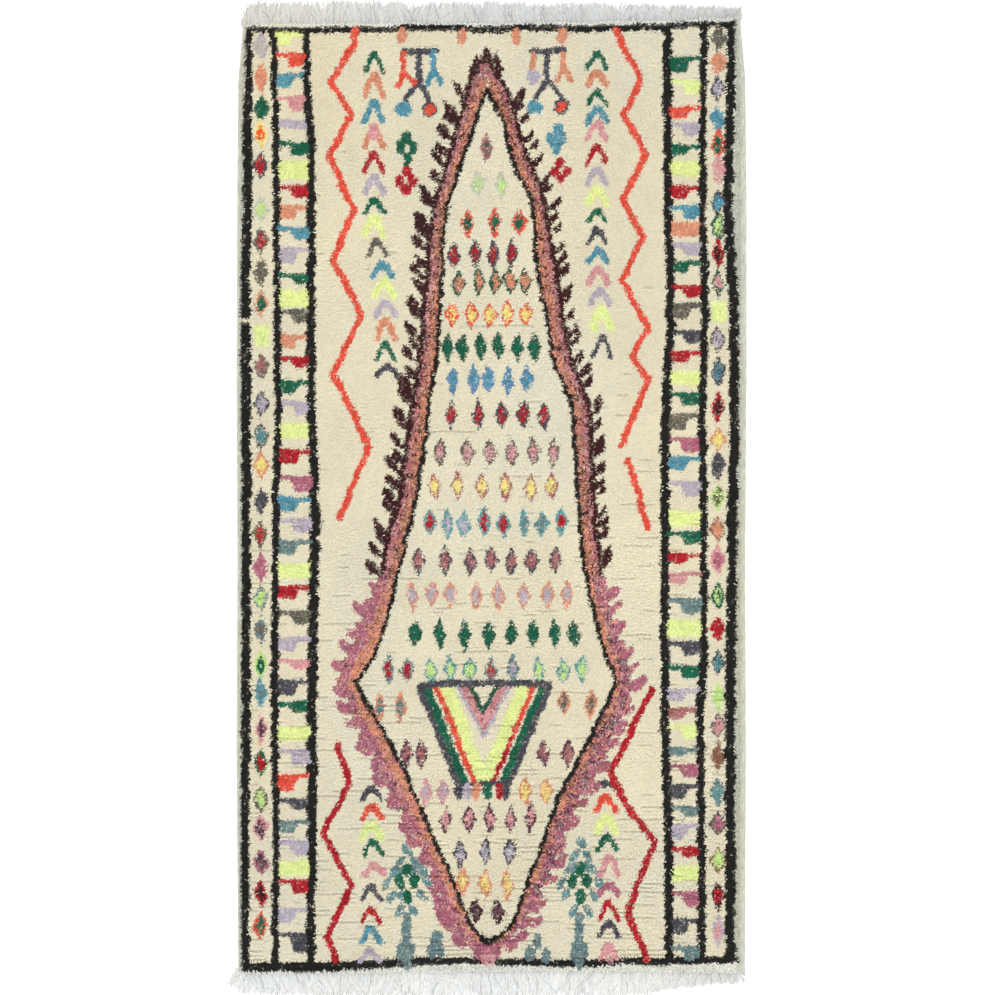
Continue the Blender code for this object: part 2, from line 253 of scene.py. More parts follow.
# The big lozenge: outer and inner edge of its band at the left, inner and outer at the right, row by row.
lozengeRows = [
    (50, 487, 487, 487, 487), (65, 480, 487, 487, 492), (90, 467, 486, 488, 507),
    (100, 464, 483, 493, 511), (126, 457, 473, 505, 518), (160, 448, 463, 512, 529),
    (200, 435, 448, 531, 545), (240, 429, 443, 535, 551), (274, 427, 442, 538, 557),
    (316, 423, 439, 547, 563), (348, 420, 438, 552, 569), (363, 418, 436, 554, 573),
    (405, 412, 429, 572, 590), (447, 406, 424, 575, 592), (500, 399, 416, 578, 594),
    (527, 390, 409, 580, 596), (570, 382, 399, 585, 601), (605, 362, 390, 592, 613),
    (640, 351, 381, 601, 624), (665, 336, 369, 610, 632), (682, 336, 356, 616, 636),
    (712, 346, 371, 603, 628), (744, 363, 391, 587, 614), (775, 376, 406, 571, 600),
    (800, 390, 416, 557, 583), (824, 404, 428, 549, 572), (852, 418, 438, 540, 562),
    (870, 426, 449, 533, 555), (886, 435, 456, 526, 547), (902, 440, 462, 520, 538),
    (920, 446, 468, 514, 528), (930, 455, 474, 507, 522), (937, 462, 481, 499, 514),
    (943, 468, 487, 489, 508), (958, 480, 486, 487, 494),
]

# Rows of small lozenges inside it: place down, places across, outer yarn, inner yarn.
insideRows = [
    (147, (486,), "rose", "grey"), (184, (477, 501), "selvedge", "lime"),
    (223, (468, 495, 519), "coral", "emerald"), (254, (454, 475, 493, 512), "slate", "crimson"),
    (282, (458, 478, 495, 510, 525), "pine", "salmon"),
    (314, (452, 471, 489, 507, 526), "coral", "lemon"),
    (347, (448, 463, 481, 498, 518, 535), "pine", "emerald"),
    (380, (453, 474, 488, 508, 527), "denim", "sky"),
    (415, (452, 478, 502, 524, 544), "slate", "crimson"),
    (452, (440, 467, 490, 512, 533, 554), "grey", "pink"),
    (487, (434, 458, 482, 506, 531, 552), "rose", "lemon"),
    (523, (430, 484, 503, 561), "teal", "crimson"), (523, (447, 464), "teal", "lilac"),
    (523, (524, 541), "teal", "steel"), (561, (418, 445, 470, 491, 511, 532, 555), "slate", "rose"),
    (595, (412, 432, 450, 476, 498, 524, 548, 567), "salmon", "lilac"),
    (634, (415, 440, 465, 489, 511, 533, 555, 574), "pine", "emerald"),
    (670, (388, 407, 491), "steel", "crimson"), (670, (430, 450, 470, 539, 563, 582), "teal", "lime"),
    (670, (513,), "steel", "lilac"), (708, (379, 400), "salmon", "steel"),
    (703, (564, 591), "salmon", "grey"), (753, (406, 421, 544, 568), "aubergine", "rose"),
    (792, (426, 443), "pink", "lilac"), (792, (525, 546), "salmon", "lemon"),
    (819, (446, 469, 490, 511, 530), "aubergine", "pink"), (853, (460, 486, 510), "slate", "lilac"),
    (883, (464, 485, 507), "salmon", "lemon"), (912, (476, 498), "plum", "aubergine"),
]

# The two T-shaped hangers, their loops and flowers: yarn, kind and places, then a stroke's width or a
# leaf's half width, half height and lean. A block's place is its left, right, top and foot.
hangers = [
    ("salmon", "leaf", ((402, 36.5), (462, 36.5), (516, 36.5), (562, 36.5)), 5, 8.5),
    ("slate", "stroke", ((403, 51.5), (436, 51.5)), 6.6),
    ("slate", "stroke", ((419, 50), (420, 84), (429, 102)), 6),
    ("slate", "stroke", ((418, 84), (404, 101)), 5.5),
    ("sky", "leaf", ((403, 109),), 9, 7.5),
    ("slate", "leaf", ((429, 110),), 7.5, 8),
    ("coral", "leaf", ((429, 110),), 5.5, 6),
    ("coral", "stroke", ((404, 53), (404, 72), (398, 85)), 5.6),
    ("coral", "stroke", ((404, 72), (414, 83)), 5.6),
    ("sky", "stroke", ((433, 52), (433, 70), (427, 85)), 5.6),
    ("sky", "stroke", ((434, 70), (442, 83)), 5.6),
    ("slate", "stroke", ((532, 51), (564, 50.5)), 6.4),
    ("slate", "stroke", ((546, 50), (547, 80), (536, 97)), 5.6),
    ("slate", "stroke", ((547, 80), (562, 98)), 5.6),
    ("sky", "leaf", ((535, 107),), 7, 7),
    ("slate", "leaf", ((561, 106),), 7.5, 8),
    ("coral", "leaf", ((561, 107),), 5, 5.5),
    ("salmon", "stroke", ((533, 54), (533, 68)), 5.6),
    ("lilac", "leaf", ((534, 77),), 6.5, 8),
    ("salmon", "stroke", ((562, 53), (563, 68), (556, 80)), 5.6),
    ("salmon", "stroke", ((563, 68), (572, 80)), 5.6),
    ("emerald", "leaf", ((407, 138), (401, 147), (413, 147), (408, 156)), 5.4, 7.0),
    ("emerald", "block", (404.5, 411, 152, 167)),
    ("cream", "leaf", ((407.5, 148),), 2.4, 4.6),
    ("crimson", "leaf", ((407, 171.5), (400.5, 181), (413.5, 181), (407, 189.5)), 5.0, 6.2),
    ("cream", "leaf", ((407, 181),), 1.7, 2.4),
    ("sky", "leaf", ((559, 129), (552, 138.5), (562, 139), (556, 148)), 5.4, 6.8),
    ("cream", "leaf", ((550.5, 179),), 2.6, 6, 0.2),
    ("crimson", "leaf", ((560, 162.5), (554, 171), (566, 171), (560, 178)), 4.8, 5.0),
    ("cream", "leaf", ((560, 171),), 1.8, 2.2),
]

# How yarns mix in the band, from its inner edge at 0 to its outer at 1: yarn, from and to across the
# band, from and to on the dice.
upperMix = [
    ("salmon", 0, 2, -1, 2), ("rose", 0.55, 2, -1, 2), ("rose", 0, 2, -1, 0.20),
    ("pink", 0.45, 2, 0.76, 2), ("brown", 0, 0.55, 0.80, 2), ("plum", 0.80, 2, -1, 2),
    ("plum", 0.12, 2, 0.38, 0.54),
]
lowerMix = [
    ("pink", 0.3, 2, -1, 0.14), ("rose", 0.36, 2, 0.80, 2), ("aubergine", 0.3, 2, 0.48, 0.56),
    ("salmon", 0.3, 2, 0.30, 0.36),
]


def lay(pattern, colour, where):
    pattern["yarn"][where] = dyeNames.index(colour)


def nearPath(pattern, points, width):
    across, down = pattern["across"], pattern["down"]
    nearest = np.full(across.shape, 1e9)
    for (ax, ay), (bx, by) in zip(points, points[1:]):
        dx = bx - ax
        dy = by - ay
        along = np.clip(((across - ax) * dx + (down - ay) * dy) / max(dx * dx + dy * dy, 1e-9), 0, 1)
        nearest = np.minimum(nearest, np.hypot(across - ax - along * dx, down - ay - along * dy))
    return nearest < width / 2


def inLozenge(pattern, x, y, halfWide, halfTall):
    across = np.abs(pattern["across"] - x)
    down = np.abs(pattern["down"] - y)
    return (across / halfWide) ** 1.08 + (down / halfTall) ** 1.08 < 1


def layLozenge(pattern, x, y, outer, inner, halfWide, halfTall):      # two yarns, mixed where they meet
    grow = 1 + 0.10 * math.sin(x * 1.7 + y * 0.9)
    drop = 1.2 * math.sin(x * 0.8 + y)
    whole = inLozenge(pattern, x, y + drop, halfWide * grow, halfTall * (2 - grow))
    lay(pattern, outer, whole & (pattern["dice"] > 0.10))
    middle = inLozenge(pattern, x, y + drop, halfWide * grow * 0.68, halfTall * 0.66)
    lay(pattern, inner, middle & (pattern["dice"] < 0.84))


def inBlock(pattern, left, right, top, foot):
    across, down = pattern["across"], pattern["down"]
    return (across > left) & (across < right) & (down > top) & (down < foot)


def inLeaf(pattern, x, y, halfWide, halfTall, lean=0.0):
    down = pattern["down"] - y
    across = pattern["across"] - x + lean * down
    return (across / halfWide) ** 2 + (down / halfTall) ** 2 < 1


def layFigures(pattern, figures):        # strokes, blocks and leaves, later ones over earlier ones
    for colour, kind, places, *size in figures:
        if kind == "stroke":
            lay(pattern, colour, nearPath(pattern, places, *size))
        elif kind == "block":
            lay(pattern, colour, inBlock(pattern, *places))
        else:
            for x, y in places:
                lay(pattern, colour, inLeaf(pattern, x, y, *size))


def layMix(pattern, where, share, mix):
    dice = pattern["dice"]
    for colour, near, far, least, most in mix:
        lay(pattern, colour, where & (share > near) & (share < far) & (dice > least) & (dice < most))


def lineAt(points, down):                # how far across a dividing line stands
    places, rows = zip(*points)
    return np.interp(down, rows, places)


def layLines(pattern):
    across, down = pattern["across"], pattern["down"]
    for name, side in (("leftEdge", -1), ("rightEdge", 1)):
        lay(pattern, "selvedge", side * (across - lineAt(uprights[name], down)) > 0)
    for name, points in uprights.items():
        rows, widths = zip(*uprightWidths[name])
        lay(pattern, "black", nearPath(pattern, points, np.interp(down, rows, widths) + 0.8))
    top = np.interp(across, *zip(*crossLines["top"]))
    bottom = np.interp(across, *zip(*crossLines["bottom"]))
    lay(pattern, "black", down < top + 3.2)
    lay(pattern, "ash", down < top - 3.4)
    thick = np.interp(across, [380, 460], [4.6, 3.6])
    lay(pattern, "black", np.abs(down - bottom) < thick)
    lay(pattern, "ash", down > bottom + thick)
    lay(pattern, "cream", inBlock(pattern, 240, 256, 318, 322))       # a missed place in the left line


def layLadder(pattern, rungs, leftLine, rightLine):
    across, down = pattern["across"], pattern["down"]
    for top, foot, colour, side in rungs:
        middle = (top + foot) / 2
        left = lineAt(leftLine, middle) + 3
        right = lineAt(rightLine, middle) - 3
        share = (across - left) / (right - left)
        share = share if side == "R" else 1 - share
        full = np.ones(share.shape) if side == "B" else np.clip((share - 0.36) / 0.15, 0, 1)
        depth = 3.6 + (foot - top - 3.6) * full - 2.5 * np.clip((share - 0.8) / 0.2, 0, 1) * (side != "B")
        lay(pattern, colour, inBlock(pattern, left, right, top - 1, foot + 1) & (down < top + depth))


def layBorders(pattern):
    layLadder(pattern, leftRungs, uprights["leftInner"], uprights["leftField"])
    layLadder(pattern, rightRungs, uprights["rightField"], uprights["rightInner"])
    for lozenges, x in ((leftLozenges, 261), (rightLozenges, 718)):
        for y, outer, inner in lozenges:
            if outer == "neon":
                lay(pattern, outer, inBlock(pattern, x - 7, x + 8, y - 10, y + 11))
                continue
            layLozenge(pattern, x, y, outer, inner, 7.8, 15)


def layChevrons(pattern):
    slim = ("emerald", "crimson", "slate", "grey", "olive")
    for x, apex, feet, colour in chevrons:
        stroke = 4.8 if colour in slim else 8.0 if colour == "neon" else 6.2
        for side in (-1, 1):
            legs = [(x + side * 1.5, apex + 2.5), (x + side * 5.5, (apex + feet) / 2),
                    (x + side * 9.2, feet - 2)]
            lay(pattern, colour, nearPath(pattern, legs, stroke))
        lay(pattern, colour, inLeaf(pattern, x, apex + 4, 3.4, 4.5))
    lay(pattern, "pink", inLeaf(pattern, 374, 132, 6, 9))


def layZigzags(pattern):
    for colour, points in zigzags:
        lay(pattern, colour, nearPath(pattern, points, 6.6))


def layGardens(pattern):                 # the two leafy plants and small leaves at the foot of the field
    leftLeaves = ((408, 850), (400, 861), (415, 862), (393, 872), (422, 870), (386, 884), (427, 880),
                  (391, 897), (422, 895), (401, 872), (414, 872), (400, 895), (400, 910), (413, 910))
    rightLeaves = ((581, 843), (575, 856), (588, 857), (569, 869), (592, 869), (562, 883), (600, 883),
                   (567, 895), (594, 896), (574, 868), (587, 867), (573, 911), (588, 911))
    for x, leaves in ((407.5, leftLeaves), (580.5, rightLeaves)):
        for leafX, leafY in leaves:
            leaf = inLeaf(pattern, leafX, leafY, 4.3, 6.4, -0.4 * math.copysign(1, leafX - x))
            lay(pattern, "steel", leaf & (pattern["dice"] > 0.10))
            lay(pattern, "teal", leaf & (pattern["dice"] > 0.70))
        for leafX, leafY in ((0, 870), (-7.5, 881), (7.5, 881), (0, 897)):
            lay(pattern, "emerald", inLeaf(pattern, x + leafX, leafY, 5.0, 7.6))
        lay(pattern, "cream", inLeaf(pattern, x, 881.5, 2.2, 4.5))
        lay(pattern, "steel", nearPath(pattern, [(x - 1, 916), (x - 1, 945)], 9))
        for leafX, leafY in ((-5, 951), (0, 948), (4.6, 952)):
            lay(pattern, "steel", inLeaf(pattern, x - 1 + leafX, leafY, 4.4, 9.5, 0.15))
        lay(pattern, "steel", nearPath(pattern, [(x - 1, 950), (x - 1, 965)], 9))
    lay(pattern, "steel", inLeaf(pattern, 436, 942, 6.4, 12, 0.1))
    for x, y in ((431, 951), (440, 950), (538, 942), (530, 954), (545, 956)):
        lay(pattern, "steel", inLeaf(pattern, x, y, 4.8, 8))
    lay(pattern, "pink", inLeaf(pattern, 609, 956, 8, 7) & (pattern["dice"] < 0.75))


def layLozengeBand(pattern):
    across, down, dice = pattern["across"], pattern["down"], pattern["dice"]
    table = np.array(lozengeRows, dtype=float)
    edges = [np.interp(down, table[:, 0], table[:, column]) for column in range(1, 5)]
    within = (down > 50) & (down < 958)
    for outer, inner, side in ((edges[0], edges[1], -1), (edges[3], edges[2], 1)):
        share = (across - inner) / np.where(np.abs(outer - inner) < 1, side, outer - inner)
        band = within & (share > 0) & (share <= 1)
        upper = down < 578
        layMix(pattern, band & upper, share, upperMix)
        lay(pattern, "rose", band & (down < 80) & (dice > 0.20))
        lay(pattern, "lilac", band & (down < 78) & (dice > 0.74))
        stripe = band & ~upper & (share < (0.46 if side < 0 else 0.38))
        lay(pattern, "mauve", band & ~upper)
        lay(pattern, "salmon", stripe & (dice > 0.16))
        lay(pattern, "brown", stripe & (dice > 0.84))
        layMix(pattern, band & ~upper, share, lowerMix)
        if side == 1:
            murk = np.interp(down, [640, 700, 760, 840], [0.72, 0.84, 0.84, 0.74])
            lay(pattern, "aubergine", band & ~upper & (share < 0.8) & (dice > 0.58) & (dice < murk))
            lay(pattern, "steel", band & ~upper & (share > 0.3) & (dice > 0.95))
    left, right = [(table[:, 0], table[:, column]) for column in (1, 4)]
    for number, y in enumerate(np.arange(92, 572, 13.9)):       # the teeth, which sit unevenly
        for (rows, places), side, size in ((left, -1, 1.02), (right, 1, 0.80)):
            middle = y + 3.6 * math.sin(number * 2.3 + side)
            offset = side * (8.8 * size + 1.8 * math.sin(number * 3.1 + side))
            x = np.interp(middle + 5, rows, places) + offset
            size = size * (1 + 0.16 * math.sin(number * 5.3 + 2 * side))
            lean = side * (0.45 + 0.22 * math.sin(number * 4.1 + side))
            lay(pattern, "plum", inLeaf(pattern, x, middle, 5.4 * size, 6.8 * size, lean))
            lay(pattern, "plum", inLeaf(pattern, x + side * 2.2, middle - 4.6, 2.6 * size, 4.4 * size, lean))
            if side < 0 or number % 3 == 0:
                neck = [(x, middle + 2), (x - side * 7, middle + 7)]
                lay(pattern, "plum", nearPath(pattern, neck, 4.4 * size))
    for x, y, tall, lean in ((474, 66, 13, 0.3), (486, 57, 8, 0), (499, 65, 12, -0.32)):
        lay(pattern, "plum", inLeaf(pattern, x, y, 3.4, tall, lean))
    for number, y in enumerate(np.arange(590, 940, 19.5)):
        for (rows, places), side in ((left, -1), (right, 1)):
            middle = y + 4.0 * math.sin(number * 1.9 + side * 2)
            size = 5.0 + 1.4 * math.sin(number * 2.7 + side)
            x = np.interp(middle, rows, places) + side * (1.4 + 2.0 * math.sin(number * 1.3 + side))
            bite = middle + 9.5
            biteX = np.interp(bite, rows, places) - side * 0.5
            lay(pattern, "cream", inLeaf(pattern, biteX, bite, 4.2, 3.4, 0.3))
            lobe = inLeaf(pattern, x, middle, size, size * 1.25, side * 0.5) & (dice > 0.08)
            lay(pattern, "mauve", lobe)
            lay(pattern, "rose", lobe & (dice > 0.8))
    for x, y, size in ((436, 892, 6.4), (442, 910, 7.2), (450, 926, 6.6), (459, 941, 6.4), (543, 902, 3.6),
                       (536, 921, 5.0), (522, 936, 5.6), (512, 946, 5.6)):
        lobe = inLeaf(pattern, x, y, size, size * 1.2, 0.5 if x > 487 else -0.5)
        lay(pattern, "mauve", lobe & (dice > 0.10))
        lay(pattern, "rose", lobe & (dice > 0.84))
    lay(pattern, "mauve", inLeaf(pattern, 487, 953, 14, 9))
    lay(pattern, "pink", inLeaf(pattern, 488, 958, 8, 9) & (dice < 0.6))
    rows = table[:, 0]
    upper = rows < 575
    for column in (1, 4):
        lay(pattern, "plum", nearPath(pattern, list(zip(table[upper, column], rows[upper])), 4.8))
    for column in (2, 3):
        lay(pattern, "black", nearPath(pattern, list(zip(table[2:-1, column], rows[2:-1])), 4.3))
    lay(pattern, "black", nearPath(pattern, [(482, 939), (488, 943), (494, 938)], 6.5))


def layInside(pattern):
    for y, places, outer, inner in insideRows:
        for x in places:
            layLozenge(pattern, x, y, outer, inner, 7.0, 15.0)


def layBowl(pattern):                    # the nested trapezium hanging in the lower half
    across, down = pattern["across"], pattern["down"]
    body = (down > 684) & (down < 786)
    fromLeft = across - (418.5 + 0.40 * (down - 692))
    fromRight = 551 - 0.42 * (down - 692) - across
    inward = np.minimum(fromLeft, fromRight)
    body = body & (inward > 0)
    stripes = ((200, "cream"), (36, "neon"), (23, "coral"), (17, "cream"), (14.5, "emerald"), (6.5, "slate"))
    for width, colour in stripes:
        lay(pattern, colour, body & (inward < width))
    lay(pattern, "crimson", body & (fromRight > 17) & (fromRight < 23) & (down > 712 + 50 * pattern["dice"]))
    nested = (down - 690) + 1.9 * np.abs(across - 483.5)
    lay(pattern, "neon", body & (nested > 80) & (nested < 100) & (inward > 23) & (down > 748))
    lay(pattern, "lilac", body & (nested < 50) & (inward > 26))
    lay(pattern, "pink", body & (nested < 43))
    lay(pattern, "rose", body & (nested < 43) & (pattern["dice"] < 0.4))
    lay(pattern, "pine", body & (nested < 27))
    lay(pattern, "cream", body & (nested < 17))
    lay(pattern, "slate", nearPath(pattern, [(422, 686), (440, 683.5), (484, 683), (549, 684.5)], 7))
    lay(pattern, "slate", nearPath(pattern, [(462, 784), (506, 783)], 5.4))
    for x, colour in ((459, "slate"), (467, "lilac"), (476, "salmon"), (487, "emerald"), (499, "crimson"),
                      (506, "slate")):
        lay(pattern, colour, inLeaf(pattern, x, 791, 4.2, 9))


def drawChart(x, y, seed):
    dice = np.random.default_rng(seed)
    shake = dice.uniform(-0.7, 0.7, (2, len(x)))
    across = chart["middleAcross"] + x / chart["step"]
    down = chart["middleDown"] - y / chart["step"]
    pattern = {
        "across": across + shake[0] + chart["wobble"] * (softNoise(across, down, 13, 21)
                                                         + 1.4 * softNoise(across * 0.3, down, 4.2, 23)),
        "down": down + shake[1] + chart["wobble"] * softNoise(across, down, 17, 22),
        "dice": dice.uniform(0, 1, len(x)),
        "yarn": np.full(len(x), dyeNames.index("cream")),
    }
    layLines(pattern)
    layBorders(pattern)
    layChevrons(pattern)
    layZigzags(pattern)
    layLozengeBand(pattern)
    layFigures(pattern, hangers)
    layInside(pattern)
    layBowl(pattern)
    layGardens(pattern)
    return pattern["yarn"]


def yarnColours(yarn, x, y, seed, tuft=0.0):      # dyed wool is never even, and the cream is lighter in one broad patch and warmer in another
    dice = np.random.default_rng(seed)
    colour = dyeTable[yarn].copy()
    pale = dice.uniform(0, 1, len(x)) < np.array([paleShares.get(name, 0.08) for name in dyeNames])[yarn]
    blend = np.where(pale, dice.uniform(0.15, 0.60, len(x)), 0)[:, None]
    colour = colour * (1 - blend) + dyeTable[0] * blend
    lively = np.clip(1.15 - 1.2 * colour.mean(axis=1), 0.30, 1.0)
    cloud = 1 + 0.03 * softNoise(x, y, 0.16, 31) + 0.02 * softNoise(x, y, 0.045, 32)
    cloud = cloud + 0.04 * np.exp(-((x - 0.40) / 0.22) ** 2 - ((y + 0.15) / 0.55) ** 2)
    plain = yarn == dyeNames.index("cream")
    spread = dice.normal(0, 1, len(x))
    strand = np.where(plain, 1 + 0.02 * spread, np.exp(lively * (0.19 * spread + 0.17 * tuft) - 0.06))
    colour *= (cloud * strand)[:, None]
    warm = dice.normal(0, 0.02, len(x)) + 0.02 * softNoise(x, y, 0.3, 33)
    warm = warm + 0.03 * np.exp(-((x + 0.50) / 0.25) ** 2 - ((y - 1.15) / 0.45) ** 2)
    colour[:, 0] *= 1 + warm
    colour[:, 2] *= 1 - 1.4 * warm
    return np.concatenate([np.clip(colour, 0.003, 0.96), np.ones((len(x), 1))], axis=1)


# Small helpers for nodes and meshes.
def addNode(tree, kind, settings=None, **sockets):
    node = tree.nodes.new(kind)
    for name, value in (settings or {}).items():
        setattr(node, name, value)
    for name, value in sockets.items():
        socket = node.inputs[int(name[2:])] if name.startswith("in") else node.inputs[name]
        if isinstance(value, bpy.types.NodeSocket):
            tree.links.new(value, socket)
        else:
            socket.default_value = value
    return node


def addSockets(tree, inputs, outputs=None):
    for way, sockets in (("INPUT", inputs), ("OUTPUT", outputs or {"Geometry": "Geometry"})):
        for name, kind in sockets.items():
            tree.interface.new_socket(name, in_out=way, socket_type="NodeSocket" + kind)
    return tree.nodes.new("NodeGroupInput").outputs


def reckon(tree, operation, *values):    # one arithmetic node, and what it gives
    sockets = {f"in{number}": value for number, value in enumerate(values)}
    return addNode(tree, "ShaderNodeMath", {"operation": operation}, **sockets).outputs[0]


def storeValue(tree, geometry, name, kind, domain, value):
    node = addNode(tree, "GeometryNodeStoreNamedAttribute", {"data_type": kind, "domain": domain},
                   Geometry=geometry, Name=name)
    tree.links.new(value, [s for s in node.inputs if s.enabled and s.name == "Value"][0])
    return node.outputs[0]


def finishTree(tree, geometry, material):
    paint = addNode(tree, "GeometryNodeSetMaterial", Geometry=geometry, Material=material)
    tree.links.new(paint.outputs[0], tree.nodes.new("NodeGroupOutput").inputs[0])
    return tree


def namedAttribute(tree, name, kind="FLOAT"):
    node = addNode(tree, "GeometryNodeInputNamedAttribute", {"data_type": kind})
    node.inputs["Name"].default_value = name
    return node.outputs["Attribute"]


def makeMesh(name, vertices, faces):
    mesh = bpy.data.meshes.new(name)
    mesh.from_pydata([tuple(v) for v in vertices], [], [tuple(f) for f in faces])
    mesh.update()
    return mesh


def addValues(mesh, name, kind, values):
    layer = mesh.attributes.new(name, kind, "POINT")
    field = {"FLOAT": "value", "FLOAT_COLOR": "color", "FLOAT2": "vector", "INT": "value"}[kind]
    layer.data.foreach_set(field, np.asarray(values).ravel())


def addObject(name, mesh):
    thing = bpy.data.objects.new(name, mesh)
    bpy.context.scene.collection.objects.link(thing)
    return thing


def bakedCopy(name, source):             # the evaluated tree as a plain mesh
    bpy.context.view_layer.update()
    graph = bpy.context.evaluated_depsgraph_get()
    mesh = bpy.data.meshes.new_from_object(source.evaluated_get(graph), preserve_all_data_layers=True,
                                           depsgraph=graph)
    mesh.name = name
    for extra in ("turn", "thin", "depth", "reach", "tall", "cell", "ownUv", "pick"):
        if extra in mesh.attributes:
            mesh.attributes.remove(mesh.attributes[extra])
    mesh.shade_smooth()
    old = source.data
    bpy.data.objects.remove(source)
    bpy.data.meshes.remove(old)
    return addObject(name, mesh)


# Wool colour shared by the pile, the woven ground and the fringe, with painted shade darkening it where the
# shade level is low, as at the roots, and fibre noise varying it.
def woolGroup():
    group = bpy.data.node_groups.new("woolFibreAndShade", "ShaderNodeTree")
    given = addSockets(group, {"Yarn": "Color", "Shade": "Float", "Root Shade": "Float",
                               "Fibre Scale": "Float", "Variation": "Float"},
                       {"Colour": "Color", "Height": "Float", "Roughness": "Float"})
    place = addNode(group, "ShaderNodeTexCoord").outputs["Object"]
    fibre = addNode(group, "ShaderNodeTexNoise", Vector=place, Scale=given["Fibre Scale"], Detail=3.0,
                    Roughness=0.6).outputs["Fac"]
    tuft = addNode(group, "ShaderNodeTexNoise", Vector=place, Scale=95.0, Detail=2.0).outputs["Fac"]
    # painted shade: the colour is darkened towards the roots, where the shade level is low
    dark = reckon(group, "MULTIPLY", reckon(group, "SUBTRACT", 1.0, given["Shade"]), given["Root Shade"])
    light = reckon(group, "SUBTRACT", 1.0, dark)
    centred = reckon(group, "SUBTRACT", reckon(group, "ADD", fibre, tuft), 1.0)
    spread = reckon(group, "MULTIPLY_ADD", centred, given["Variation"], 1.0)
    level = reckon(group, "MULTIPLY", light, spread)
    tint = addNode(group, "ShaderNodeVectorMath", {"operation": "SCALE"}, in0=given["Yarn"], Scale=level)
    rough = addNode(group, "ShaderNodeMapRange", Value=fibre)
    rough.inputs["To Min"].default_value = 0.78
    rough.inputs["To Max"].default_value = 1.0
    result = group.nodes.new("NodeGroupOutput")
    group.links.new(tint.outputs[0], result.inputs["Colour"])
    group.links.new(fibre, result.inputs["Height"])
    group.links.new(rough.outputs["Result"], result.inputs["Roughness"])
    return group


def woolMaterial(name, group, settings):
    material = bpy.data.materials.new(name)
    material.use_nodes = True
    tree = material.node_tree
    shader = tree.nodes["Principled BSDF"]
    yarn = addNode(tree, "ShaderNodeAttribute", {"attribute_name": "yarn"})
    tip = addNode(tree, "ShaderNodeAttribute", {"attribute_name": "tip"})
    fibre = addNode(tree, "ShaderNodeGroup", {"node_tree": group}, Yarn=yarn.outputs["Color"],
                    Shade=tip.outputs["Fac"])
    for name, key in (("Root Shade", "rootShade"), ("Fibre Scale", "fibreScale"), ("Variation", "variation")):
        fibre.inputs[name].default_value = settings[key]
    bump = addNode(tree, "ShaderNodeBump", Strength=settings["bump"], Distance=0.0012,
                   Height=fibre.outputs["Height"])
    tree.links.new(fibre.outputs["Colour"], shader.inputs["Base Color"])
    tree.links.new(fibre.outputs["Roughness"], shader.inputs["Roughness"])
    tree.links.new(bump.outputs["Normal"], shader.inputs["Normal"])
    shader.inputs["Sheen Weight"].default_value = settings["sheen"]
    shader.inputs["Sheen Roughness"].default_value = 0.55
    shader.inputs["Specular IOR Level"].default_value = 0.2
    return material


wool = woolGroup()
pileWool = woolMaterial("pileWool", wool, {"rootShade": 0.55, "fibreScale": 480.0, "variation": 0.10,
                                           "bump": 0.15, "sheen": 0.10})
groundWool = woolMaterial("groundWool", wool, {"rootShade": 0.6, "fibreScale": 300.0, "variation": 0.3,
                                               "bump": 0.6, "sheen": 0.05})
fringeWool = woolMaterial("fringeWool", wool, {"rootShade": 0.10, "fibreScale": 520.0, "variation": 0.20,
                                               "bump": 0.3, "sheen": 0.15})
print("materials made")

# Knots: each ties one yarn, and its two ends stand up and flop to either side.
knots = {
    "rows": 232, "columns": 232, "strips": 4, "seed": 7,
    "rootHeight": 0.0052, "reach": 0.0092, "width": 0.0044, "height": 0.0130, "twist": 0.12, "softness": 0.6,
    # the four ends of a knot: side it flops to, how far aside and how far along it is rooted
    "ends": [(-1, 0.0006, 0.0045), (1, 0.0022, 0.0016), (-1, 0.0022, -0.0014), (1, 0.0006, -0.0044)],
    # how ends are combed towards the top, in degrees, and how unevenly
    "comb": 28.0, "unevenness": 30.0, "darkTuft": 27, "darkUnevenness": 13,
    "aboveCrack": (62, 10), "underCrack": (-36, 10), "footRim": (66, 16), "headRim": (-34, 20),
    "rimDepth": 0.011, "sideRim": 0.008,
    # dark ends are longer, thinner and more clumped, and cream ends get less painted root shade
    "darkReach": 1.38, "darkClump": 0.34, "darkWidth": 0.80, "darkLift": 0.05, "creamRootShade": 0.26,
}


def rowWave(x, y):                       # the rows aren't beaten down quite straight
    return 0.0030 * softNoise(x, y, 0.10, 41) + 0.0010 * softNoise(x, y, 0.035, 46)


def placeKnots():
    dice = np.random.default_rng(knots["seed"])
    rows, columns = knots["rows"], knots["columns"]
    column, row = np.meshgrid(np.arange(columns), np.arange(rows))
    column = column.ravel()
    row = row.ravel()
    share = (row + 0.5) / rows
    guessY = -1.42 + 2.84 * share
    left = sideAt(guessY, 2)
    right = sideAt(guessY, 4)
    x = left + (right - left) * (column + 0.5 + dice.uniform(-0.15, 0.15, len(row))) / columns
    low = endAt(x, 3)
    high = endAt(x, 1)
    y = low + (high - low) * share
    y += rowWave(x, y) + dice.uniform(-0.0008, 0.0008, len(row))
    return x, y, row, column


def crackAt(x, y, boundary):              # where the pile parts between two rows, more towards the foot
    need = np.interp(y, [-1.45, -0.75, 0.1, 1.45], [0.38, 0.53, 0.76, 0.97])
    return softNoise(x, boundary * 0.37, 0.07, 42) > need - 0.35 * creaseAt(x, y)


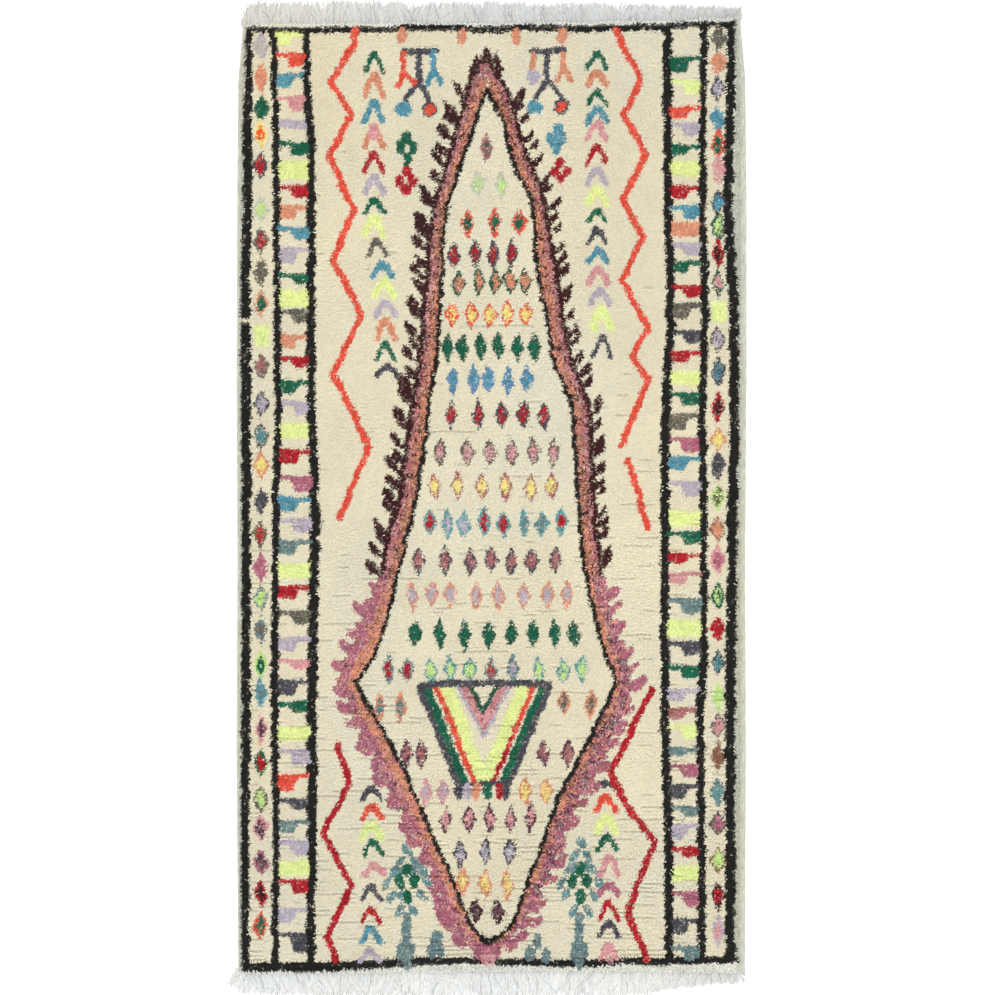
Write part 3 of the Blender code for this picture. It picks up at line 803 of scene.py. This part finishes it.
def endPlaces(x, y, row, column):
    dice = np.random.default_rng(knots["seed"] + 1)
    rootYarn = drawChart(x, y, 51)
    dark = (rootYarn == dyeNames.index("black")) | (rootYarn == dyeNames.index("plum"))
    fromTop = endAt(x, 1) - y
    fromBottom = y - endAt(x, 3)
    fromSide = np.minimum(x - sideAt(y, 2), sideAt(y, 4) - x)
    tuft = dice.normal(0, 1, len(x))
    clump = dice.uniform(-1, 1, len(x))
    above = crackAt(x, y, row + 1)
    under = crackAt(x, y, row)
    rim = knots["rimDepth"]
    parts = []
    for side, aside, along in knots["ends"]:
        comb = knots["comb"] + 10 * softNoise(x, y, 0.12, 43)
        comb = comb + np.where(dark, knots["darkTuft"] * tuft, 0)
        comb = comb + dice.normal(0, 1, len(x)) * np.where(dark, knots["darkUnevenness"], knots["unevenness"])
        for name, where in (("aboveCrack", above & (along > 0)), ("underCrack", under & (along < 0)),
                            ("footRim", fromBottom < rim), ("headRim", fromTop < rim)):
            middle, spread = knots[name]
            comb = np.where(where, middle + dice.normal(0, spread, len(x)), comb)
        turn = np.radians(-comb) if side > 0 else np.radians(180 + comb)
        longer = np.where(dark, knots["darkReach"] + knots["darkClump"] * clump, 1.0)
        reach = dice.uniform(0.75, 1.25, len(x)) * longer
        reach = reach * np.where(fromTop < rim, 0.75, 1.0) * np.where(fromSide < knots["sideRim"], 0.55, 1.0)
        uneven = np.where(rootYarn == dyeNames.index("cream"), 1.0, 2.4)
        tall = 1 + 0.04 * softNoise(x, y, 0.10, 44) + uneven * dice.uniform(-0.05, 0.03, len(x))
        tall = tall - 0.16 * creaseAt(x, y) + knots["darkLift"] * dark
        z = np.full(len(x), knots["rootHeight"])
        endX = x + side * aside + dice.uniform(-0.0012, 0.0012, len(x))
        endY = y + along + dice.uniform(-0.0010, 0.0010, len(x))
        half = (0.45 + np.where(dark, 0.38, 0.26) * clump) * knots["reach"] * reach
        strand = drawChart(endX + half * np.cos(turn), endY + half * np.sin(turn), 52)
        colour = yarnColours(strand, endX, endY, 53 + len(parts), tuft)
        thin = np.where(dark, knots["darkWidth"], 1.0)
        # how deep the painted root shade goes: less on cream ends
        depth = np.where(strand == dyeNames.index("cream"), knots["creamRootShade"], 1.0)
        parts.append((endX, endY, z, turn, reach, tall, thin, depth, colour, column))
    return [np.concatenate(group) for group in zip(*parts)]


def makeYarnEnd():                       # one wool end as a small bent leaf: root, shoulder, tip
    vertices = [(0, -0.3, 0), (0, 0.3, 0), (0.34, -0.5, 0.92), (0.34, 0.5, 0.96), (1, 0.08, 0.86)]
    mesh = makeMesh("yarnEnd", vertices, [(0, 2, 3, 1), (2, 4, 3)])
    # shade level along the end, low at the root, for painted shade
    addValues(mesh, "tip", "FLOAT", [0.0, 0.0, 0.8, 0.8, 1.0])
    addValues(mesh, "ownUv", "FLOAT2", [(0, 0), (1, 0), (0, 0.6), (1, 0.6), (0.5, 1)])
    return addObject("yarnEnd", mesh)


def finishEnds(tree, real, cells):
    # painted root shade: dyed ends are shaded darker at the root than cream ones
    lack = reckon(tree, "SUBTRACT", 1.0, namedAttribute(tree, "tip"))
    deep = reckon(tree, "MULTIPLY", lack, namedAttribute(tree, "depth"))
    shaded = storeValue(tree, real, "tip", "FLOAT", "POINT", reckon(tree, "SUBTRACT", 1.0, deep))
    # every wool end gets its own small square of the colour map
    cell = namedAttribute(tree, "cell")
    own = addNode(tree, "ShaderNodeSeparateXYZ", Vector=namedAttribute(tree, "ownUv", "FLOAT_VECTOR"))
    column = reckon(tree, "MODULO", cell, cells)
    row = reckon(tree, "FLOOR", reckon(tree, "DIVIDE", cell, cells))
    sides = []
    for index, start in enumerate((column, row)):
        inset = reckon(tree, "MULTIPLY_ADD", own.outputs[index], 0.7, 0.15)
        sides.append(reckon(tree, "DIVIDE", reckon(tree, "ADD", start, inset), cells))
    ownMap = addNode(tree, "ShaderNodeCombineXYZ", X=sides[0], Y=sides[1])
    return storeValue(tree, shaded, "OFBake", "FLOAT2", "CORNER", ownMap.outputs[0])


def pileTree():
    tree = bpy.data.node_groups.new("pile", "GeometryNodeTree")
    given = addSockets(tree, {"Geometry": "Geometry", "Yarn End": "Object", "Reach": "Float",
                              "Width": "Float", "Height": "Float", "Twist": "Float", "Cells": "Float",
                              "Seed": "Int", "Material": "Material"})
    source = addNode(tree, "GeometryNodeObjectInfo", Object=given["Yarn End"])
    source.inputs["As Instance"].default_value = True
    roll = addNode(tree, "FunctionNodeRandomValue", {"data_type": "FLOAT"}, Seed=given["Seed"])
    least, most = [s for s in roll.inputs if s.enabled][:2]
    tree.links.new(reckon(tree, "MULTIPLY", given["Twist"], -1.0), least)
    tree.links.new(given["Twist"], most)
    rolled = [s for s in roll.outputs if s.enabled][0]
    angles = addNode(tree, "ShaderNodeCombineXYZ", X=rolled, Z=namedAttribute(tree, "turn"))
    turn = addNode(tree, "FunctionNodeEulerToRotation", in0=angles.outputs[0])
    long = reckon(tree, "MULTIPLY", given["Reach"], namedAttribute(tree, "reach"))
    wide = reckon(tree, "MULTIPLY", given["Width"], namedAttribute(tree, "thin"))
    tall = reckon(tree, "MULTIPLY", given["Height"], namedAttribute(tree, "tall"))
    size = addNode(tree, "ShaderNodeCombineXYZ", X=long, Y=wide, Z=tall)
    place = addNode(tree, "GeometryNodeInstanceOnPoints", Points=given["Geometry"],
                    Instance=source.outputs["Geometry"], Rotation=turn.outputs[0], Scale=size.outputs[0])
    real = addNode(tree, "GeometryNodeRealizeInstances", Geometry=place.outputs[0])
    return finishTree(tree, finishEnds(tree, real.outputs[0], given["Cells"]), given["Material"])


def giveTree(thing, tree, values):
    modifier = thing.modifiers.new(tree.name, "NODES")
    modifier.node_group = tree
    for socket in tree.interface.items_tree:
        if socket.in_out == "INPUT" and socket.name in values:
            modifier[socket.identifier] = values[socket.name]


def makePile():
    x, y, row, column = placeKnots()
    x, y, z, turn, reach, tall, thin, depth, colour, column = endPlaces(x, y, row, column)
    end = makeYarnEnd()
    tree = pileTree()
    pieces = []
    for strip in range(knots["strips"]):
        chosen = np.nonzero(column * knots["strips"] // knots["columns"] == strip)[0]
        order = chosen[np.lexsort((x[chosen], np.round(y[chosen] / 0.012)))]
        mesh = makeMesh("pileRoots", np.stack([x[order], y[order], z[order]], axis=1), [])
        addValues(mesh, "yarn", "FLOAT_COLOR", colour[order])
        for name, values in (("turn", turn), ("reach", reach), ("tall", tall), ("thin", thin),
                             ("depth", depth)):
            addValues(mesh, name, "FLOAT", values[order])
        addValues(mesh, "cell", "FLOAT", np.arange(len(order), dtype=float))
        roots = addObject("pileRoots", mesh)
        giveTree(roots, tree, {"Yarn End": end, "Reach": knots["reach"], "Width": knots["width"],
                               "Height": knots["height"], "Twist": knots["twist"], "Seed": strip,
                               "Cells": float(math.ceil(math.sqrt(len(order)))), "Material": pileWool})
        pieces.append(bakedCopy(f"pileStrip{strip + 1}", roots))
    bpy.data.objects.remove(end)
    return pieces


def softenShading(thing, upward):        # wool scatters light, so its shading leans towards the sky
    mesh = thing.data
    normals = np.empty(len(mesh.vertices) * 3)
    mesh.vertex_normals.foreach_get("vector", normals)
    normals = normals.reshape(-1, 3) * (1 - upward)
    normals[:, 2] += upward
    normals /= np.linalg.norm(normals, axis=1)[:, None]
    mesh.normals_split_custom_set_from_vertices(normals.tolist())


pile = makePile()
for piece in pile:
    softenShading(piece, knots["softness"])
print("pile made,", sum(len(piece.data.polygons) for piece in pile), "faces")

# Woven ground with its selvedges, under the pile; its underside shows the knots' backs.
ground = {"rows": 233, "columns": 184, "matHeight": 0.0125, "cordHeight": 0.0052, "bandHeight": 0.0036,
          "rimHeight": 0.0014, "leftCords": 2, "rightCords": 4}


def makeGround():
    def cords(count):                    # places and heights across a selvedge, edge first
        places = [0.0]
        heights = [ground["rimHeight"]]
        for number in range(count):
            places += [(number + 0.5) / count, (number + 1.0) / count]
            heights += [ground["cordHeight"], ground["cordHeight"] - 0.0018]
        return places, heights

    leftPlaces, leftHeights = cords(ground["leftCords"])
    rightPlaces, rightHeights = cords(ground["rightCords"])
    rowShares = np.arange(ground["rows"]) / (ground["rows"] - 1)
    rowShares[0] = 0.25 / ground["rows"]
    rowShares[-1] = 1 - 0.25 / ground["rows"]
    bandSteps = [1.0, 0.75, 0.35]
    rowCount = ground["rows"] + 2 * len(bandSteps)
    columnCount = ground["columns"] + len(leftPlaces) + len(rightPlaces)
    grid = np.zeros((rowCount, columnCount, 3))
    isPile = np.zeros((rowCount, columnCount), bool)
    boundary = np.zeros((rowCount, columnCount))
    for rowNumber in range(rowCount):
        number = rowNumber - len(bandSteps)
        inPile = 0 <= number < ground["rows"]
        share = rowShares[min(max(number, 0), ground["rows"] - 1)]
        guess = -1.42 + 2.84 * share
        xs = np.concatenate([
            sideAt(guess, 1) + (sideAt(guess, 2) - sideAt(guess, 1)) * np.array(leftPlaces),
            np.linspace(sideAt(guess, 2) + 0.004, sideAt(guess, 4) - 0.004, ground["columns"]),
            sideAt(guess, 3) + (sideAt(guess, 4) - sideAt(guess, 3)) * np.array(rightPlaces[::-1])])
        low = endAt(xs, 3)
        high = endAt(xs, 1)
        ys = low + (high - low) * share
        ys = ys + rowWave(xs, ys) * min(1, number / 3, (ground["rows"] - number) / 3)
        mat = np.full(ground["columns"], ground["matHeight"])
        zs = np.concatenate([leftHeights, mat, rightHeights[::-1]])
        pilePart = np.zeros(columnCount, bool)
        pilePart[len(leftPlaces):len(leftPlaces) + ground["columns"]] = True
        if number < 0:
            ys = low - rug["endBand"] * bandSteps[rowNumber]
        elif number >= ground["rows"]:
            ys = high + rug["endBand"] * bandSteps[rowCount - 1 - rowNumber]
        if not inPile:
            edge = rowNumber in (0, rowCount - 1)
            zs = np.minimum(zs, ground["rimHeight"] if edge else ground["bandHeight"])
            pilePart[:] = False
        grid[rowNumber, :, 0] = xs
        grid[rowNumber, :, 1] = ys
        grid[rowNumber, :, 2] = zs
        isPile[rowNumber] = pilePart
        boundary[rowNumber] = number
    x = grid[:, :, 0].ravel()
    y = grid[:, :, 1].ravel()
    dice = np.random.default_rng(61)
    flat = isPile.ravel()
    z = grid[:, :, 2].ravel()
    cracked = flat & crackAt(x, y, boundary.ravel())
    z = z + np.where(flat, dice.uniform(-0.0008, 0.0008, len(z)) - 0.0022 * creaseAt(x, y), 0)
    z = z - np.where(cracked, 0.0035, 0)
    top = np.stack([x, y, z], axis=1)
    bottom = np.stack([x, y, np.zeros(len(x))], axis=1)
    index = np.arange(rowCount * columnCount).reshape(rowCount, columnCount)
    a = index[:-1, :-1].ravel()
    b = index[:-1, 1:].ravel()
    c = index[1:, 1:].ravel()
    d = index[1:, :-1].ravel()
    count = len(x)
    faces = [np.stack([a, b, c, d], axis=1), np.stack([a, d, c, b], axis=1) + count]
    ring = np.concatenate([index[0, :-1], index[:-1, -1], index[-1, :0:-1], index[:0:-1, 0]])
    following = np.roll(ring, -1)
    faces.append(np.stack([ring, ring + count, following + count, following], axis=1))
    mesh = makeMesh("wovenGround", np.concatenate([top, bottom]), np.concatenate(faces).tolist())
    yarn = drawChart(x, y, 62)
    yarn = np.where(flat, yarn, dyeNames.index("selvedge"))
    colour = yarnColours(yarn, x, y, 63)
    addValues(mesh, "yarn", "FLOAT_COLOR", np.concatenate([colour, colour * 0.94]))
    # painted shade: the ground is darkened where it shows between the pile ends, most in the cracks;
    # selvedges and the underside get fixed levels
    shade = np.where(flat, 0.84 + dice.uniform(0, 0.12, count), 0.95)
    shade = np.where(cracked, 0.64, shade)
    addValues(mesh, "tip", "FLOAT", np.concatenate([shade, np.full(count, 0.85)]))
    mesh.materials.append(groundWool)
    mesh.shade_smooth()
    return addObject("wovenGround", mesh)


wovenGround = makeGround()
print("ground made,", len(wovenGround.data.polygons), "faces")

# Fringe: loose warp yarns at each end, in soft wisps.
fringe = {
    "yarns": 2600, "shapes": 9, "steps": 5, "seed": 81, "softness": 0.6,
    "thickness": 0.0024, "root": 0.009, "rootHeight": 0.0010, "lift": 0.0040, "sideMargin": 0.004,
    "typicalReach": 0.055, "flare": 0.7, "flareWidth": 0.05,
    # how far yarns reach, as a share of the room to the strands' tips, with more at the foot
    # but for its right corner
    "topReach": 1.30, "footReach": 1.26, "footExtra": 0.28,
    # a few yarns are darkened as painted shadow between strands, and the top end is darkened as painted shade
    # and the foot lightened as painted light
    "strandShadowShare": 0.12, "strandShadowTone": 0.62, "topTone": 0.86, "footTone": 1.04,
}


def makeFringeYarn(number):              # a slack three-sided yarn, one unit long towards +Y
    dice = np.random.default_rng(fringe["seed"] + number)
    sway = dice.uniform(-0.11, 0.11, 2)
    bow = dice.uniform(-0.26, 0.26)
    rise = dice.uniform(0.35, 1.0)
    vertices = []
    tips = []
    faces = []
    steps = fringe["steps"]
    for step in range(steps + 1):
        t = step / steps
        x = bow * t * t + sway[0] * math.sin(math.pi * t) + sway[1] * math.sin(2 * math.pi * t)
        z = (1 - t) ** 2 * 0.9 + rise * math.sin(math.pi * min(1, t * 1.1)) * 0.5
        thick = 0.5 * (1 - 0.45 * t)
        if step == steps:
            vertices.append((x, 1.0, z))
            tips.append(1.0)
            continue
        for corner in range(3):
            angle = 2 * math.pi * corner / 3 + math.pi / 2
            vertices.append((x, t, z, math.cos(angle) * thick, math.sin(angle) * thick))
            # painted shade: the yarn's shade level is lower towards its root
            tips.append(0.25 + 0.75 * t)
    for step in range(steps - 1):
        for corner in range(3):
            a = step * 3 + corner
            b = step * 3 + (corner + 1) % 3
            faces.append((a, a + 3, b + 3, b))
    last = (steps - 1) * 3
    for corner in range(3):
        faces.append((last + corner, steps * 3, last + (corner + 1) % 3))
    return vertices, faces, tips


def fringeTree():
    tree = bpy.data.node_groups.new("fringe", "GeometryNodeTree")
    given = addSockets(tree, {"Geometry": "Geometry", "Yarns": "Collection", "Lift": "Float",
                              "Material": "Material"})
    source = addNode(tree, "GeometryNodeCollectionInfo", Collection=given["Yarns"])
    source.inputs["Separate Children"].default_value = True
    source.inputs["Reset Children"].default_value = True
    angles = addNode(tree, "ShaderNodeCombineXYZ", Z=namedAttribute(tree, "turn"))
    turn = addNode(tree, "FunctionNodeEulerToRotation", in0=angles.outputs[0])
    reach = namedAttribute(tree, "reach")
    lift = reckon(tree, "MULTIPLY", given["Lift"], namedAttribute(tree, "tall"))
    size = addNode(tree, "ShaderNodeCombineXYZ", X=reach, Y=reach, Z=lift)
    place = addNode(tree, "GeometryNodeInstanceOnPoints", Points=given["Geometry"],
                    Instance=source.outputs[0], Rotation=turn.outputs[0], Scale=size.outputs[0])
    place.inputs["Pick Instance"].default_value = True
    tree.links.new(namedAttribute(tree, "pick", "INT"), place.inputs["Instance Index"])
    real = addNode(tree, "GeometryNodeRealizeInstances", Geometry=place.outputs[0])
    return finishTree(tree, real.outputs[0], given["Material"])


def makeFringes():
    shapes = bpy.data.collections.new("fringeYarns")
    for number in range(fringe["shapes"]):
        vertices, faces, tips = makeFringeYarn(number)
        placed = []
        for vertex in vertices:
            x, y, z = vertex[:3]
            if len(vertex) == 5:
                x += vertex[3] * fringe["thickness"] / fringe["typicalReach"]
                z += vertex[4] * fringe["thickness"] / fringe["lift"]
            placed.append((x, y, z))
        mesh = makeMesh(f"fringeYarn{number}", placed, faces)
        addValues(mesh, "tip", "FLOAT", tips)
        thing = bpy.data.objects.new(f"fringeYarn{number}", mesh)
        shapes.objects.link(thing)
    tree = fringeTree()
    made = []
    for name, side, edge, tip in (("fringeTop", 1, 1, 2), ("fringeBottom", -1, 3, 4)):
        dice = np.random.default_rng(fringe["seed"] + 20 + side)
        count = fringe["yarns"]
        share = (np.arange(count) + dice.uniform(0, 1, count)) / count
        yEnd = 1.42 * side
        left = float(sideAt(yEnd, 1)) + fringe["sideMargin"]
        right = float(sideAt(yEnd, 3)) - fringe["sideMargin"]
        x = left + (right - left) * share
        y = endAt(x, edge) - side * fringe["root"] * dice.uniform(0.2, 1.6, count)
        room = (endAt(x, tip) - y) * side
        wisp = softNoise(x, x * 0, 0.020, 91 + side)
        lean = 0.42 * softNoise(x, x * 0, 0.030, 93 + side) + 0.14 * softNoise(x, x * 0, 0.2, 95 + side)
        lean = lean + dice.normal(0, 0.26, count)
        if side < 0:                     # the lower left corner flares out
            lean = lean - fringe["flare"] * np.clip(1 - (x - left) / fringe["flareWidth"], 0, 1)
        pastCorner = np.clip((0.62 - x) / 0.25, 0, 1)
        long = fringe["topReach"] if side > 0 else fringe["footReach"] + fringe["footExtra"] * pastCorner
        reach = room * (long + 0.10 * wisp + dice.uniform(-0.30, 0.06, count))
        turn = -lean if side > 0 else math.pi + lean
        tall = dice.uniform(0.35, 1.0, count)
        order = np.argsort(dice.uniform(0, 1, count))
        yarn = np.full(count, dyeNames.index("white"))
        colour = yarnColours(yarn, x, y, 97 + side)
        # painted shadow: a share of the yarns is darkened to stand for the shadows between strands
        strandShadow = np.where(dice.uniform(0, 1, count) < fringe["strandShadowShare"], fringe["strandShadowTone"], 1.0)
        # painted shade on the top end and painted light on the foot end of the same white yarn
        colour[:, :3] *= strandShadow[:, None] * (fringe["topTone"] if side > 0 else fringe["footTone"])
        mesh = makeMesh(name, np.stack([x, y, np.full(count, fringe["rootHeight"])], axis=1)[order], [])
        addValues(mesh, "yarn", "FLOAT_COLOR", colour[order])
        for key, values in (("turn", turn), ("reach", reach), ("tall", tall)):
            addValues(mesh, key, "FLOAT", values[order])
        addValues(mesh, "pick", "INT", dice.integers(0, fringe["shapes"], count))
        roots = addObject(name + "Roots", mesh)
        giveTree(roots, tree, {"Yarns": shapes, "Lift": fringe["lift"], "Material": fringeWool})
        made.append(bakedCopy(name, roots))
        softenShading(made[-1], fringe["softness"])
    for thing in list(shapes.objects):
        bpy.data.objects.remove(thing)
    bpy.data.collections.remove(shapes)
    return made


fringeTop, fringeBottom = makeFringes()
print("fringes made,", len(fringeTop.data.polygons) + len(fringeBottom.data.polygons), "faces")

# What each piece stands for.
for piece in [wovenGround] + pile:
    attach(piece, "root")
    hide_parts("rug_body")
for piece, node in ((fringeTop, "fringe_top"), (fringeBottom, "fringe_bottom")):
    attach(piece, "root")
    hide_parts(node)

# Studio: pale floor, soft light from all round, camera straight above.
studio = {"floor": 7.0, "sky": 1.02, "keySize": 4.5, "keyHeight": 5.0, "keyPower": 112.0,
          "cameraHeight": 8.0, "planeHeight": 0.015, "frame": 2.985}


def makeStudio():
    half = studio["floor"]
    mesh = makeMesh("studioFloor", [(-half, -half, 0), (half, -half, 0), (half, half, 0), (-half, half, 0)],
                    [(0, 1, 2, 3)])
    floor = addObject("studioFloor", mesh)
    floor.location.z = -0.0002
    paint = bpy.data.materials.new("studioFloor")
    paint.use_nodes = True
    shader = paint.node_tree.nodes["Principled BSDF"]
    shader.inputs["Base Color"].default_value = (0.93, 0.93, 0.93, 1)
    shader.inputs["Roughness"].default_value = 1.0
    shader.inputs["Specular IOR Level"].default_value = 0.0
    mesh.materials.append(paint)
    world = bpy.data.worlds.new("studio")
    world.use_nodes = True
    world.node_tree.nodes["Background"].inputs["Color"].default_value = (1, 1, 1, 1)
    world.node_tree.nodes["Background"].inputs["Strength"].default_value = studio["sky"]
    bpy.context.scene.world = world
    for name, x, y, power, size in (("keyLight", -1.1, 1.5, studio["keyPower"], studio["keySize"]),
                                    ("fillLight", 1.4, -1.6, studio["keyPower"] * 0.7, studio["keySize"])):
        lamp = bpy.data.lights.new(name, "AREA")
        lamp.energy = power
        lamp.size = size
        thing = bpy.data.objects.new(name, lamp)
        thing.location = (x, y, studio["keyHeight"])
        thing.rotation_euler = (-math.atan2(y, studio["keyHeight"]), math.atan2(x, studio["keyHeight"]), 0)
        bpy.context.scene.collection.objects.link(thing)
    camera = bpy.data.cameras.new("photoCamera")
    camera.sensor_width = 36.0
    camera.lens = 36.0 * studio["cameraHeight"] / studio["frame"]
    camera.clip_end = 60.0
    eye = bpy.data.objects.new("photoCamera", camera)
    eye.location = (0.015, -0.0015, studio["cameraHeight"] + studio["planeHeight"])
    bpy.context.scene.collection.objects.link(eye)
    bpy.context.scene.camera = eye
    bpy.context.scene.view_settings.view_transform = "Standard"
    bpy.context.scene.view_settings.look = "None"


makeStudio()
print("studio made")
